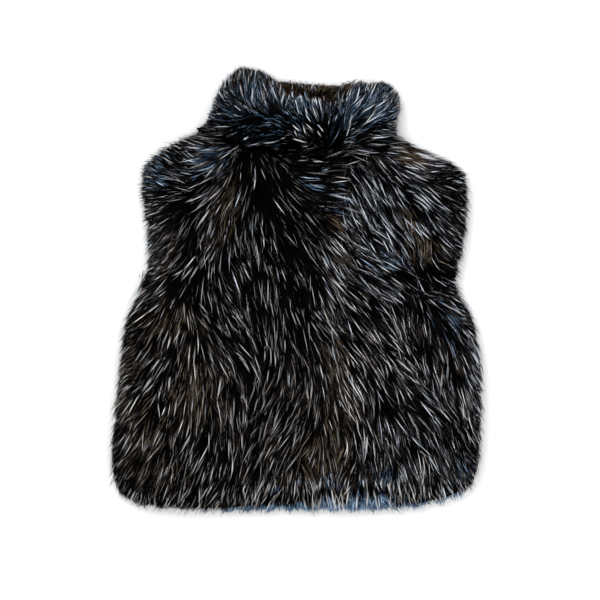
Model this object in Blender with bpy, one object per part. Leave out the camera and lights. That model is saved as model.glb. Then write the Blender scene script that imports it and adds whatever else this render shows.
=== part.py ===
"""A cropped faux fur vest with a stand collar, closed down the front and laid flat on its back.

Metres, +Z up. The vest lies on the plane z = 0 with its hem towards -Y and its collar towards +Y.
Left and right are the wearer's, so the right front lies towards -X.
Every piece is a wall of cloth with its pile: flat on the cloth's wrong side, and as deep as the fur on the other.
The pieces under the middle plane lie fur side down and are pressed flat on the surface.
"""

import math

import bmesh
import bpy
import numpy as np

# Depth of the cloth and of its pile
CLOTH = 0.0015
BACK_PILE = 0.0145
FRONT_PILE = 0.0205
COLLAR_PILE = 0.0290
MIDDLE = CLOTH + BACK_PILE
SEAM_GAP = 0.0003

# How far in from each kind of edge the pile rounds over
SIDE_ROUND = 0.034
HEM_ROUND = 0.028
TOP_ROUND = 0.020
OPENING_ROUND = 0.011
COLLAR_ROUND = 0.020
UNDER_ROUND = 0.018

# Grid of a panel: even steps inside, with closer ones where the pile rounds over
STEP = 0.0092
RIM_STEPS = (0.0, 0.0008, 0.0032, 0.0072, 0.0130)

# Tufts in the free edges
TUFT_DEPTH = 0.0018
TUFT_PITCH = 0.0280

# Locks of pile that overlap like tongues along the nap
LOCK_LENGTH = 0.062
LOCK_WIDTH = 0.030
LOCK_HEIGHT = 0.0056
LOCK_FALL = 0.45
LOCK_NARROWING = 0.45
LOCK_PITCH_X = 0.0280
LOCK_PITCH_Y = 0.0400
LOCK_JITTER = 0.0080
LOCK_SEED = 7
LAID_X = (-0.240, 0.245)
LAID_Y = (-0.285, 0.290)

# Outline of the laid vest, each line as (x, y). The back's hem shows past the fronts'
SIDE_RIGHT = (
    (-0.2330, -0.2670),
    (-0.2410, -0.2280),
    (-0.2375, -0.1700),
    (-0.2300, -0.0980),
    (-0.2235, -0.0450),
    (-0.2055, -0.0060),
    (-0.1950, 0.0250),
    (-0.1965, 0.0800),
    (-0.2030, 0.1280),
    (-0.2015, 0.1570),
)
SIDE_LEFT = (
    (0.2300, -0.2560),
    (0.2380, -0.2200),
    (0.2405, -0.1350),
    (0.2365, -0.0720),
    (0.2280, -0.0340),
    (0.2110, -0.0050),
    (0.2095, 0.0180),
    (0.2165, 0.0520),
    (0.2240, 0.1100),
    (0.2205, 0.1525),
)
HEM_RIGHT = (
    (-0.2330, -0.2670),
    (-0.1980, -0.2830),
    (-0.1500, -0.2870),
    (-0.0990, -0.2850),
    (-0.0600, -0.2760),
    (-0.0210, -0.2725),
    (0.0140, -0.2700),
    (0.0370, -0.2620),
    (0.0580, -0.2680),
)
HEM_LEFT = (
    (0.0580, -0.2680),
    (0.0830, -0.2605),
    (0.1000, -0.2600),
    (0.1180, -0.2635),
    (0.1350, -0.2700),
    (0.1560, -0.2735),
    (0.1780, -0.2735),
    (0.1980, -0.2680),
    (0.2120, -0.2620),
    (0.2300, -0.2560),
)
HEM_BACK = (
    (-0.2330, -0.2670),
    (-0.1980, -0.2835),
    (-0.1500, -0.2875),
    (-0.0990, -0.2885),
    (-0.0210, -0.2870),
    (0.0580, -0.2870),
    (0.1350, -0.2850),
    (0.1735, -0.2800),
    (0.1930, -0.2750),
    (0.2125, -0.2690),
    (0.2300, -0.2560),
)
OPENING = (
    (0.0580, -0.2680),
    (0.0575, -0.2240),
    (0.0500, -0.1820),
    (0.0420, -0.1200),
    (0.0390, -0.0530),
    (0.0440, 0.0120),
    (0.0500, 0.0770),
    (0.0545, 0.1300),
    (0.0540, 0.1720),
)
SHOULDER_RIGHT = (
    (-0.2015, 0.1570),
    (-0.1880, 0.1730),
    (-0.1620, 0.1900),
    (-0.1320, 0.2030),
)
SHOULDER_LEFT = (
    (0.2205, 0.1525),
    (0.1975, 0.1665),
    (0.1640, 0.1790),
    (0.1320, 0.1990),
)
NECK_RIGHT = (
    (-0.1320, 0.2030),
    (0.0540, 0.1720),
)
NECK_LEFT = (
    (0.0540, 0.1720),
    (0.1320, 0.1990),
)
NECK_BACK = (
    (-0.1320, 0.2030),
    (0.1320, 0.1990),
)
COLLAR_FOLD_RIGHT = (
    (-0.1320, 0.2030),
    (-0.1165, 0.2225),
    (-0.1075, 0.2480),
    (-0.0965, 0.2700),
)
COLLAR_FOLD_LEFT = (
    (0.1320, 0.1990),
    (0.1310, 0.2150),
    (0.1360, 0.2360),
    (0.1345, 0.2520),
)
COLLAR_TOP_RIGHT = (
    (-0.0965, 0.2700),
    (-0.0735, 0.2885),
    (-0.0450, 0.2845),
    (-0.0240, 0.2710),
    (-0.0100, 0.2550),
    (0.0200, 0.2475),
    (0.0500, 0.2420),
)
COLLAR_TOP_LEFT = (
    (0.0500, 0.2420),
    (0.0660, 0.2540),
    (0.0790, 0.2735),
    (0.0920, 0.2680),
    (0.1050, 0.2720),
    (0.1200, 0.2680),
    (0.1345, 0.2520),
)
COLLAR_TOP_BACK = (
    (-0.0965, 0.2700),
    (-0.0480, 0.2720),
    (0.0050, 0.2695),
    (0.0450, 0.2660),
    (0.0900, 0.2660),
    (0.1345, 0.2520),
)
COLLAR_OPENING = (
    (0.0540, 0.1720),
    (0.0530, 0.2080),
    (0.0500, 0.2420),
)

# The inner fur of the back collar rises where the front collar leaves it bare
LIP_START = 0.0105
LIP_REACH = 0.0090
LIP_HEIGHT = 0.0110

# Folds in the pile: start x, start y, end x, end y, height (a trough is negative), half width
FOLDS = (
    (-0.122, 0.165, -0.126, -0.004, -0.0050, 0.013),
    (-0.205, 0.014, -0.128, -0.008, -0.0060, 0.014),
    (-0.170, 0.150, -0.145, 0.105, 0.0030, 0.024),
    (-0.062, 0.150, -0.058, -0.010, 0.0035, 0.034),
    (-0.092, -0.055, -0.036, -0.130, -0.0040, 0.013),
    (-0.180, -0.060, -0.172, -0.215, 0.0030, 0.030),
    (-0.148, -0.150, -0.142, -0.245, -0.0030, 0.012),
    (0.002, -0.025, 0.014, -0.095, -0.0045, 0.014),
    (-0.020, -0.140, -0.030, -0.250, 0.0030, 0.030),
    (0.016, -0.200, 0.020, -0.285, -0.0030, 0.013),
    (-0.105, 0.190, 0.045, 0.172, -0.0035, 0.013),
    (0.214, 0.020, 0.128, 0.010, -0.0080, 0.014),
    (0.070, 0.055, 0.165, -0.110, 0.0035, 0.028),
    (0.150, -0.028, 0.166, -0.160, -0.0040, 0.012),
    (0.214, -0.050, 0.214, -0.205, 0.0030, 0.026),
    (0.110, 0.150, 0.195, 0.120, 0.0035, 0.026),
    (0.092, 0.188, 0.080, 0.120, -0.0030, 0.012),
    (0.074, -0.165, 0.072, -0.270, -0.0040, 0.012),
    (0.120, -0.180, 0.124, -0.260, 0.0025, 0.026),
    (-0.078, 0.268, -0.062, 0.240, 0.0045, 0.022),
    (-0.020, 0.262, -0.028, 0.224, -0.0045, 0.012),
    (0.018, 0.246, 0.006, 0.222, 0.0040, 0.018),
    (0.092, 0.272, 0.084, 0.226, -0.0060, 0.010),
    (0.116, 0.258, 0.110, 0.232, 0.0040, 0.016),
)

# Nap of the fur, root to tip: x, y, direction in degrees from +X towards +Y
NAP = (
    (-0.070, 0.275, 100),
    (0.020, 0.262, 85),
    (0.120, 0.262, 50),
    (-0.120, 0.215, 165),
    (-0.055, 0.200, 200),
    (0.040, 0.180, -10),
    (-0.165, 0.180, 135),
    (-0.195, 0.110, 195),
    (-0.150, 0.070, 225),
    (-0.090, 0.090, 250),
    (-0.045, 0.060, 272),
    (0.030, 0.100, 305),
    (0.110, 0.110, 300),
    (0.195, 0.150, 5),
    (0.200, 0.090, 330),
    (0.190, 0.005, 350),
    (0.110, 0.010, 328),
    (0.080, -0.080, 302),
    (0.150, -0.060, 270),
    (0.225, -0.080, 300),
    (0.100, -0.210, 275),
    (0.225, -0.220, 305),
    (-0.130, -0.020, 255),
    (-0.200, -0.060, 215),
    (-0.215, -0.180, 232),
    (-0.150, -0.180, 250),
    (-0.080, -0.060, 315),
    (-0.090, -0.160, 270),
    (-0.020, -0.160, 245),
    (0.010, -0.260, 255),
    (-0.100, -0.270, 255),
)

# Colour (linear), roughness and metallic value
OUTER_FUR = ((0.030, 0.028, 0.030, 1.0), 0.62, 0.0)
INNER_FUR = ((0.060, 0.042, 0.028, 1.0), 0.68, 0.0)

# How finely the lines are cut, how soon a nap reading fades and where the shading turns sharp
LINE_CUTS = 14
TUFT_CUTS = 200
NAP_BLEND = 0.012
SHARP_DEGREES = 50


def smooth_line(points):
    """A curve through the points (Catmull-Rom), as a close polyline."""
    p = np.array(points)
    p = np.vstack([2 * p[0] - p[1], p, 2 * p[-1] - p[-2]])
    t = np.linspace(0, 1, LINE_CUTS, endpoint=False)[:, None]
    pieces = []
    for a, b, c, d in zip(p, p[1:], p[2:], p[3:]):
        pieces.append(
            0.5
            * (
                2 * b
                + (c - a) * t
                + (2 * a - 5 * b + 4 * c - d) * t**2
                + (3 * b - a - 3 * c + d) * t**3
            )
        )
    return np.vstack([*pieces, p[-2:-1]])


def joined(*lines):
    """Lines that follow each other, as one."""
    return np.vstack([lines[0], *(line[1:] for line in lines[1:])])


def length_of(line):
    return float(np.linalg.norm(np.diff(line, axis=0), axis=1).sum())


def along(line, shares):
    """The points at these shares of a line's length."""
    run = np.concatenate([[0], np.cumsum(np.linalg.norm(np.diff(line, axis=0), axis=1))])
    return np.stack([np.interp(shares * run[-1], run, line[:, k]) for k in range(2)], 1)


def tufted(line):
    """A free edge with its tufts, which fade out at the corners."""
    shares = np.linspace(0, 1, TUFT_CUTS)
    points = along(line, shares)
    slope = np.gradient(points, axis=0)
    out = np.stack([slope[:, 1], -slope[:, 0]], 1) / np.linalg.norm(slope, axis=1)[:, None]
    waves = round(length_of(line) / TUFT_PITCH)
    lift = TUFT_DEPTH * np.sin(2 * math.pi * waves * shares) * np.sin(math.pi * shares) ** 0.5
    return points + out * lift[:, None]


def stations(length):
    """Shares of a length where the grid has its lines."""
    inner = length - 2 * RIM_STEPS[-1]
    count = max(2, round(inner / STEP))
    middle = RIM_STEPS[-1] + inner * np.arange(1, count) / count
    rim = np.array(RIM_STEPS)
    return np.concatenate([rim, middle, length - rim[::-1]]) / length


def distance_to(line, points):
    """How far each point is from a line, in plan."""
    a, b = line[:-1], line[1:]
    d = b - a
    rel = points[:, None, :] - a[None]
    share = ((rel * d).sum(2) / np.maximum((d * d).sum(1), 1e-12)).clip(0, 1)
    return np.linalg.norm(rel - share[..., None] * d[None], axis=2).min(1)


def rounded(distance, reach):
    """A quarter circle's height, from 0 at an edge to 1 at its reach."""
    return np.sqrt(1 - (1 - np.minimum(distance / reach, 1)) ** 2)


def nap_at(points):
    """Unit nap direction at each point, blended from the nearest readings."""
    table = np.array(NAP)
    angle = np.radians(table[:, 2])
    gap = np.linalg.norm(points[:, None, :] - table[None, :, :2], axis=2)
    weight = 1 / (gap + NAP_BLEND) ** 3
    flow = weight @ np.stack([np.cos(angle), np.sin(angle)], 1)
    return flow / np.linalg.norm(flow, axis=1)[:, None]


def lock_centres():
    """A staggered, jittered grid of lock centres over the whole laid vest."""
    random = np.random.default_rng(LOCK_SEED)
    centres = []
    for row, y in enumerate(np.arange(*LAID_Y, LOCK_PITCH_Y)):
        shift = LOCK_PITCH_X / 2 * (row % 2)
        for x in np.arange(LAID_X[0] + shift, LAID_X[1], LOCK_PITCH_X):
            centres.append((x, y))
    centres = np.array(centres)
    return centres + random.uniform(-LOCK_JITTER, LOCK_JITTER, centres.shape)


def lock_relief(points):
    """Height of the locks: each rises from its root to its tip, where it ends in a step."""
    centres = lock_centres()
    relief = np.zeros(len(points))
    for centre, flow in zip(centres, nap_at(centres)):
        away = points - centre
        run = away @ flow / (LOCK_LENGTH / 2)
        side = away @ np.array([-flow[1], flow[0]]) / (LOCK_WIDTH / 2)
        narrow = 1 - LOCK_NARROWING * np.clip(run, 0, 1)
        crown = np.clip(1 - (side / narrow) ** 2, 0, None)
        rise = np.clip((run + 1) / (2 - LOCK_FALL), 0, 1)
        fall = np.clip((1 - run) / LOCK_FALL, 0, 1)
        relief = np.maximum(relief, LOCK_HEIGHT * crown * rise * fall)
    return relief


def fold_relief(points):
    """Height of the larger folds."""
    relief = np.zeros(len(points))
    for x0, y0, x1, y1, height, half_width in FOLDS:
        near = distance_to(np.array([(x0, y0), (x1, y1)]), points)
        relief += height * np.exp(-((near / half_width) ** 2))
    return relief


def surface_over(hem, top, left, right):
    """Grid of points inside four edges (a Coons patch), with its counts across and along."""
    across = stations((length_of(hem) + length_of(top)) / 2)
    up = stations(length_of(right))
    u, v = np.meshgrid(across, up)
    u, v = u[..., None], v[..., None]
    grid = (1 - v) * along(hem, across)[None] + v * along(top, across)[None]
    for share, line in ((1 - u, left), (u, right)):
        bow = along(line, up)[:, None]
        grid = grid + share * (bow - (1 - v) * bow[:1] - v * bow[-1:])
    return grid.reshape(-1, 2), len(across), len(up)


def upper_height(points, edges, pile):
    """Height of the pile over the cloth on a piece that lies fur side up."""
    dome = np.ones(len(points))
    for line, reach in edges:
        dome *= rounded(distance_to(line, points), reach)
    relief = fold_relief(points) + lock_relief(points)
    return MIDDLE + SEAM_GAP + CLOTH + dome * (pile + relief)


def under_height(points, edges):
    """Height of the pressed pile's underside: flat on the surface, and rounding up to the edges."""
    dome = np.ones(len(points))
    for line, _ in edges:
        dome *= rounded(distance_to(line, points), UNDER_ROUND)
    return np.where(dome > 0.999, 0.0, BACK_PILE * (1 - dome))


def lip_height(points):
    """Rise of the back collar's inner fur above the middle plane, clear of the front collar."""
    front = joined(smooth_line(COLLAR_TOP_RIGHT), smooth_line(COLLAR_TOP_LEFT))
    above = points[:, 1] > np.interp(points[:, 0], front[:, 0], front[:, 1])
    edge = distance_to(smooth_line(COLLAR_TOP_BACK), points)
    rise = np.clip((distance_to(front, points) - LIP_START) / LIP_REACH, 0, 1)
    return LIP_HEIGHT * above * rise * rounded(edge, LIP_REACH)


def material(name, look):
    colour, roughness, metallic = look
    made = bpy.data.materials.new(name)
    made.use_nodes = True
    shader = made.node_tree.nodes["Principled BSDF"]
    shader.inputs["Base Color"].default_value = colour
    shader.inputs["Roughness"].default_value = roughness
    shader.inputs["Metallic"].default_value = metallic
    return made


def piece(name, collection, look, points, counts, fur, plain):
    """One closed piece: a grid at the heights of its fur, extruded to the heights of its plain side."""
    across, up = counts
    bm = bmesh.new()
    bmesh.ops.create_grid(bm, x_segments=across - 1, y_segments=up - 1, size=0.5)
    ordered = sorted(bm.verts, key=lambda v: (round(v.co.y, 5), round(v.co.x, 5)))
    places = {v: k for k, v in enumerate(ordered)}
    for vert, k in places.items():
        vert.co = (*points[k], fur[k])
    pushed = bmesh.ops.extrude_face_region(bm, geom=bm.faces[:])["geom"]
    by_place = {tuple(np.round(v.co, 7)): k for v, k in places.items()}
    for vert in (g for g in pushed if isinstance(g, bmesh.types.BMVert)):
        vert.co.z = plain[by_place[tuple(np.round(vert.co, 7))]]
    bmesh.ops.recalc_face_normals(bm, faces=bm.faces)
    mesh = bpy.data.meshes.new(name)
    bm.to_mesh(mesh)
    bm.free()
    mesh.shade_smooth()
    mesh.set_sharp_from_angle(angle=math.radians(SHARP_DEGREES))
    mesh.materials.append(material(name + "_fur", look))
    made = bpy.data.objects.new(name, mesh)
    collection.objects.link(made)
    return made


def lines():
    """Every edge of the laid vest by name, with the tufts in the free ones."""
    plain = {
        "opening": OPENING,
        "neck_right": NECK_RIGHT,
        "neck_left": NECK_LEFT,
        "neck_back": NECK_BACK,
        "shoulder_right": SHOULDER_RIGHT,
        "shoulder_left": SHOULDER_LEFT,
        "fold_right": COLLAR_FOLD_RIGHT,
        "fold_left": COLLAR_FOLD_LEFT,
        "collar_top_right": COLLAR_TOP_RIGHT,
        "collar_top_left": COLLAR_TOP_LEFT,
        "collar_top_back": COLLAR_TOP_BACK,
        "collar_opening": COLLAR_OPENING,
    }
    free = {
        "side_right": SIDE_RIGHT,
        "side_left": SIDE_LEFT,
        "hem_right": HEM_RIGHT,
        "hem_left": HEM_LEFT,
        "hem_back": HEM_BACK,
    }
    found = {name: smooth_line(points) for name, points in plain.items()}
    found |= {name: tufted(smooth_line(points)) for name, points in free.items()}
    return found


def moved(line, x=0.0, y=0.0):
    return line + np.array([x, y])


def add_back(collection, line):
    half = SEAM_GAP / 2
    hem = line["hem_back"]
    top = joined(line["shoulder_right"], line["neck_back"], line["shoulder_left"][::-1])
    top = moved(top, y=-half)
    edges = [(hem, 0), (top, 0), (line["side_right"], 0), (line["side_left"], 0)]
    points, *counts = surface_over(hem, top, line["side_right"], line["side_left"])
    plain = np.full(len(points), MIDDLE)
    return piece("back", collection, OUTER_FUR, points, counts, under_height(points, edges), plain)


def add_front(name, collection, hem, side, top, opening, mirrored):
    """A front between its side and the front opening. mirrored has its side towards +X."""
    edges = [(hem, HEM_ROUND), (side, SIDE_ROUND), (top, TOP_ROUND), (opening, OPENING_ROUND)]
    left, right = (opening, side) if mirrored else (side, opening)
    points, *counts = surface_over(hem, top, left, right)
    fur = upper_height(points, edges, FRONT_PILE)
    plain = np.full(len(points), MIDDLE + SEAM_GAP)
    return piece(name, collection, OUTER_FUR, points, counts, fur, plain)


def add_front_collar(name, collection, base, top, left, right, opening):
    edges = [(base, TOP_ROUND), (top, COLLAR_ROUND), (left, COLLAR_ROUND), (right, COLLAR_ROUND)]
    edges = [(line, OPENING_ROUND if line is opening else reach) for line, reach in edges]
    points, *counts = surface_over(base, top, left, right)
    fur = upper_height(points, edges, COLLAR_PILE)
    plain = np.full(len(points), MIDDLE + SEAM_GAP)
    return piece(name, collection, OUTER_FUR, points, counts, fur, plain)


def add_back_collar(collection, line):
    base = moved(line["neck_back"], y=SEAM_GAP / 2)
    borders = (base, line["collar_top_back"], line["fold_right"], line["fold_left"])
    points, *counts = surface_over(*borders)
    under = under_height(points, [(border, 0) for border in borders])
    plain = MIDDLE + lip_height(points)
    return piece("collar_back", collection, INNER_FUR, points, counts, under, plain)


def centre_on_footprint(objects):
    """Puts the middle of the footprint at the origin."""
    corners = np.array([v.co for o in objects for v in o.data.vertices])
    middle = (corners.min(0) + corners.max(0)) / 2
    for made in objects:
        for vert in made.data.vertices:
            vert.co.x -= middle[0]
            vert.co.y -= middle[1]


def main():
    for old in list(bpy.data.objects):
        bpy.data.objects.remove(old)
    collection = bpy.data.collections.new("faux_fur_vest")
    bpy.context.scene.collection.children.link(collection)
    half = SEAM_GAP / 2
    line = lines()
    top_right = moved(joined(line["shoulder_right"], line["neck_right"]), -half, -half)
    top_left = moved(joined(line["neck_left"], line["shoulder_left"][::-1]), half, -half)
    hem_right, hem_left = moved(line["hem_right"], -half), moved(line["hem_left"], half)
    open_right, open_left = moved(line["opening"], -half), moved(line["opening"], half)
    collar_right_edge = moved(line["collar_opening"], -half, half)
    collar_left_edge = moved(line["collar_opening"], half, half)
    made = [
        add_back(collection, line),
        add_front(
            "front_right", collection, hem_right, line["side_right"], top_right, open_right, False
        ),
        add_front(
            "front_left", collection, hem_left, line["side_left"], top_left, open_left, True
        ),
        add_back_collar(collection, line),
        add_front_collar(
            "collar_right",
            collection,
            moved(line["neck_right"], -half, half),
            moved(line["collar_top_right"], -half),
            line["fold_right"],
            collar_right_edge,
            collar_right_edge,
        ),
        add_front_collar(
            "collar_left",
            collection,
            moved(line["neck_left"], half, half),
            moved(line["collar_top_left"], half),
            collar_left_edge,
            line["fold_left"],
            collar_left_edge,
        ),
    ]
    centre_on_footprint(made)


main()
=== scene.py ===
"""Looks of the faux fur vest.

A dark under-pile takes each solid's place and form, and the fur grows on it, combed lock by lock.
"""

import math

import bmesh
import bpy
import numpy as np
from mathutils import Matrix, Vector, noise
from mathutils.bvhtree import BVHTree
from mathutils.kdtree import KDTree


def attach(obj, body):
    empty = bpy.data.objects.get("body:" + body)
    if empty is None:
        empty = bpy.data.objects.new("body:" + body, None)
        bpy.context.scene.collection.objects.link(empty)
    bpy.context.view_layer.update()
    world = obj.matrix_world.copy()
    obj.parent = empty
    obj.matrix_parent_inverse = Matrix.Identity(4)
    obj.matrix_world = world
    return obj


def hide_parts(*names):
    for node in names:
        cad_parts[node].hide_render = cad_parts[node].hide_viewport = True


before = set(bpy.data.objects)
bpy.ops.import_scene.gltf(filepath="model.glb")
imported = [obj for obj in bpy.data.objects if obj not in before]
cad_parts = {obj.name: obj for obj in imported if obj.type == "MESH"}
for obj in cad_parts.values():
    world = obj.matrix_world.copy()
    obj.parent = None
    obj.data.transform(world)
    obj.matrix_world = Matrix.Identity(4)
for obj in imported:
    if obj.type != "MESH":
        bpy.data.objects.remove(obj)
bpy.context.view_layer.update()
rng = np.random.default_rng(20)

FRONTS = ("front_right", "front_left")
FRONT_COLLARS = ("collar_right", "collar_left")
COLLARS = (*FRONT_COLLARS, "collar_back")
FUR_UP = (*FRONTS, *FRONT_COLLARS)
NODES = (*FUR_UP, "collar_back", "back")

# Places in the photo are in its own pixels: its side, metres to a pixel, and the vest's middle
PHOTO_SIDE = 600
PIXEL = 0.0013
MIDDLE_X, MIDDLE_Y = 296.5, 289.5
# The plane between the front layer and the back one, and how near to it a point or a face counts as in it
SEAM_Z, POINT_NEAR, FACE_NEAR = 0.016, 0.0002, 0.0004
# Upward share of the normal from which a face looks up, a face looks down, and a tuft is on the underside
LOOKS_UP, LOOKS_DOWN, UNDERSIDE = 0.9, -0.6, -0.8
# Two places closer than the first are one, and a vector shorter than the second has no direction
SAME_PLACE, NO_LENGTH = 1e-6, 1e-9

# Where the fronts meet, how far from there a hair counts, how little it then turns, and its dark tone
OPENING_X, OPENING_REACH, OPENING_TURN, OPENING_TONE = 0.062, 0.012, 0.0030, 0.03
# Fur of the fronts below this is kept off the back's band
HEM_Y = -0.235
# The dip in the front collar's top edge: middle, half width, height, and how far below that fur is shortened
DIP_X, DIP_REACH, DIP_Y, DIP_BELOW = 0.024, 0.044, 0.222, 0.02
# The front collar's top edge across the dip
DIP_EDGE_X = (-0.0240, -0.0100, 0.0200, 0.0500, 0.0660, 0.0790)
DIP_EDGE_Y = (0.2710, 0.2550, 0.2475, 0.2420, 0.2540, 0.2735)
# How far fur may stand past that edge, its least length, what its curve adds, and the share of tips left
DIP_PAST, DIP_SHORTEST, DIP_CURVE, DIP_LEFT = 0.0040, 0.006, 1.15, 0.6

# How deep under the solids' surface the hairs are rooted, and under the strips that the fronts leave bare
SINK, STRIP_SINK = 0.0070, 0.002
# How far fine hairs stand out at the outline, and how far inside it the others end
RIM_FUZZ, RIM_DEEP = 0.0070, 0.0030
# Least height over the floor of the hair and of the pile, and how far over a point a ray starts
FLOOR_CLEAR, PILE_CLEAR, RAY_START = 0.0007, 0.0013, 0.0005

# The comb: how much further off readings on other nodes count, and reach and power of each reading
COMB_OTHER, COMB_REACH, COMB_POWER = 4.0, 0.009, 3.4
# Noise runs this much slower along the vest
DRAWN_OUT = 0.55
# Locks: share of the tufts that lead one, how far it draws the others' tips, and the power along the hair
LOCK_SHARE, LOCK_PULL, LOCK_POWER = 0.075, 0.62, 1.4
# A tuft's curve: steps, steps between two combings, and shares of the old nap and the new one in a combing
TUFT_STEPS, COMB_STEPS, OLD_NAP, NEW_NAP = 12, 3, 0.45, 0.55
# Power by which its lift falls off, lift at its tip, and how closely it keeps to the surface
LIFT_POWER, TIP_LIFT, HUG = 1.2, math.radians(5), 0.6
# Rounds in which hairs that stand off too far are drawn back, and the power of their shortening
DRAW_ROUNDS, DRAW_POWER = 3, 0.35
# Powers along a hair by which it joins its tuft and by which it wavers
CLUMP_POWER, WAVER_POWER = 1.3, 1.5
# Hairs that look shorter than this share of the middle one are thinner, down to the second share
SHORT_LOOK, THINNEST = 0.55, 0.35
# How far ribbons roll in radians, and how far their edges are from their middle in tone
ROLL, EDGE_TONE = 0.5, 0.003

# Nap, root to tip: photo x, photo y, direction in degrees from +X towards +Y
COMB = (
    (225, 100, 125), (240, 85, 100), (262, 85, 85), (300, 92, 90), (330, 90, 58),
    (350, 100, 70), (375, 95, 88), (392, 95, 48), (395, 118, 10), (384, 130, -20),
    (215, 120, 150), (210, 135, 168), (204, 154, 185), (245, 130, 200), (296, 156, 5),
    (320, 170, 25), (322, 195, -2), (333, 200, -14), (360, 132, 20), (180, 160, 138),
    (160, 160, 142), (184, 152, 135), (190, 165, 142), (172, 170, 150),
    (145, 165, 155), (191, 185, 165), (151, 178, 175), (145, 200, 185), (165, 205, 215),
    (172, 230, 225), (150, 230, 207), (162, 268, 198), (177, 258, 235), (189, 233, 250),
    (200, 230, 265), (180, 285, 210), (200, 172, 205), (250, 170, 270), (230, 170, 240),
    (275, 170, 290), (215, 190, 230), (235, 215, 265), (250, 220, 275), (285, 210, 300),
    (312, 213, 312), (212, 250, 250), (245, 250, 280), (289, 252, 295), (205, 284, 295),
    (225, 268, 300), (227, 299, 295), (250, 294, 275), (272, 296, 272), (197, 309, 300),
    (217, 319, 310), (225, 335, 320), (221, 345, 303), (177, 327, 245), (157, 332, 240),
    (142, 335, 215), (129, 327, 205), (151, 351, 240), (131, 357, 220), (190, 340, 265),
    (210, 357, 285), (247, 360, 300), (266, 374, 245), (199, 370, 285), (183, 377, 255),
    (161, 377, 235), (133, 380, 226), (273, 370, 245), (171, 402, 245), (189, 415, 262),
    (215, 396, 275), (232, 408, 275), (145, 408, 240), (125, 408, 228), (157, 420, 245),
    (244, 407, 270), (268, 413, 242), (284, 427, 235), (190, 433, 255), (117, 452, 215),
    (135, 460, 235), (157, 460, 252), (190, 463, 240), (210, 454, 262), (224, 467, 240),
    (237, 447, 275), (255, 440, 250), (277, 440, 240), (251, 474, 255), (184, 500, 240),
    (165, 498, 260), (130, 487, 245), (205, 498, 245), (235, 494, 265), (264, 498, 250),
    (297, 400, 245), (303, 436, 228), (327, 427, 280), (313, 463, 280), (314, 487, 280),
    (340, 410, 315), (350, 413, 290), (352, 455, 240), (342, 482, 255), (320, 236, 315),
    (308, 249, 305), (336, 249, 315), (354, 259, 322), (361, 243, 325), (377, 238, 305),
    (371, 275, 325), (357, 277, 330), (382, 286, 330), (394, 271, 340), (415, 254, 265),
    (427, 253, 272), (447, 249, 320), (444, 270, 340), (453, 301, 340), (434, 295, 355),
    (463, 314, 340), (422, 309, 275), (412, 301, 260), (394, 309, 295), (379, 309, 320),
    (354, 313, 305), (338, 298, 325), (323, 319, 320), (332, 340, 315), (310, 301, 285),
    (348, 329, 300), (371, 327, 312), (389, 338, 312), (410, 329, 262), (438, 338, 280),
    (447, 350, 290), (470, 338, 312), (467, 360, 290), (434, 351, 268), (389, 358, 325),
    (399, 365, 310), (355, 369, 295), (305, 358, 288), (444, 368, 262), (468, 377, 288),
    (472, 402, 302), (430, 405, 315), (408, 386, 310), (394, 393, 300), (377, 377, 278),
    (364, 402, 278), (365, 447, 272), (390, 440, 285), (413, 413, 300), (424, 404, 310),
    (449, 404, 278), (424, 460, 290), (461, 400, 285), (475, 434, 310), (466, 475, 300),
    (413, 476, 272), (376, 463, 278), (349, 500, 268), (400, 498, 285), (457, 172, 12),
    (443, 183, 3), (436, 165, 18), (412, 169, 330), (394, 176, 300), (401, 180, 320),
    (422, 194, 320), (446, 198, 330), (464, 210, 332), (461, 226, 325), (426, 212, 315),
    (405, 212, 298), (412, 242, 280), (442, 236, 310), (454, 267, 330), (382, 111, 40),
    (376, 150, 325), (395, 153, 0), (370, 156, 280), (370, 191, 305), (346, 182, 292),
    (344, 204, 305), (384, 204, 285), (381, 239, 320), (344, 236, 310),
)

# Where the hair points at the viewer: photo x, photo y, reach in pixels, lift in degrees
LIFTS = (
    (245, 134, 14, 60),
    (272, 138, 17, 72),
    (300, 136, 17, 72),
    (322, 150, 12, 50),
    (285, 152, 14, 60),
    (264, 128, 8, 60),
    (326, 128, 14, 66),
    (298, 118, 12, 58),
    (262, 116, 12, 50),
    (345, 138, 12, 45),
)

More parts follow.
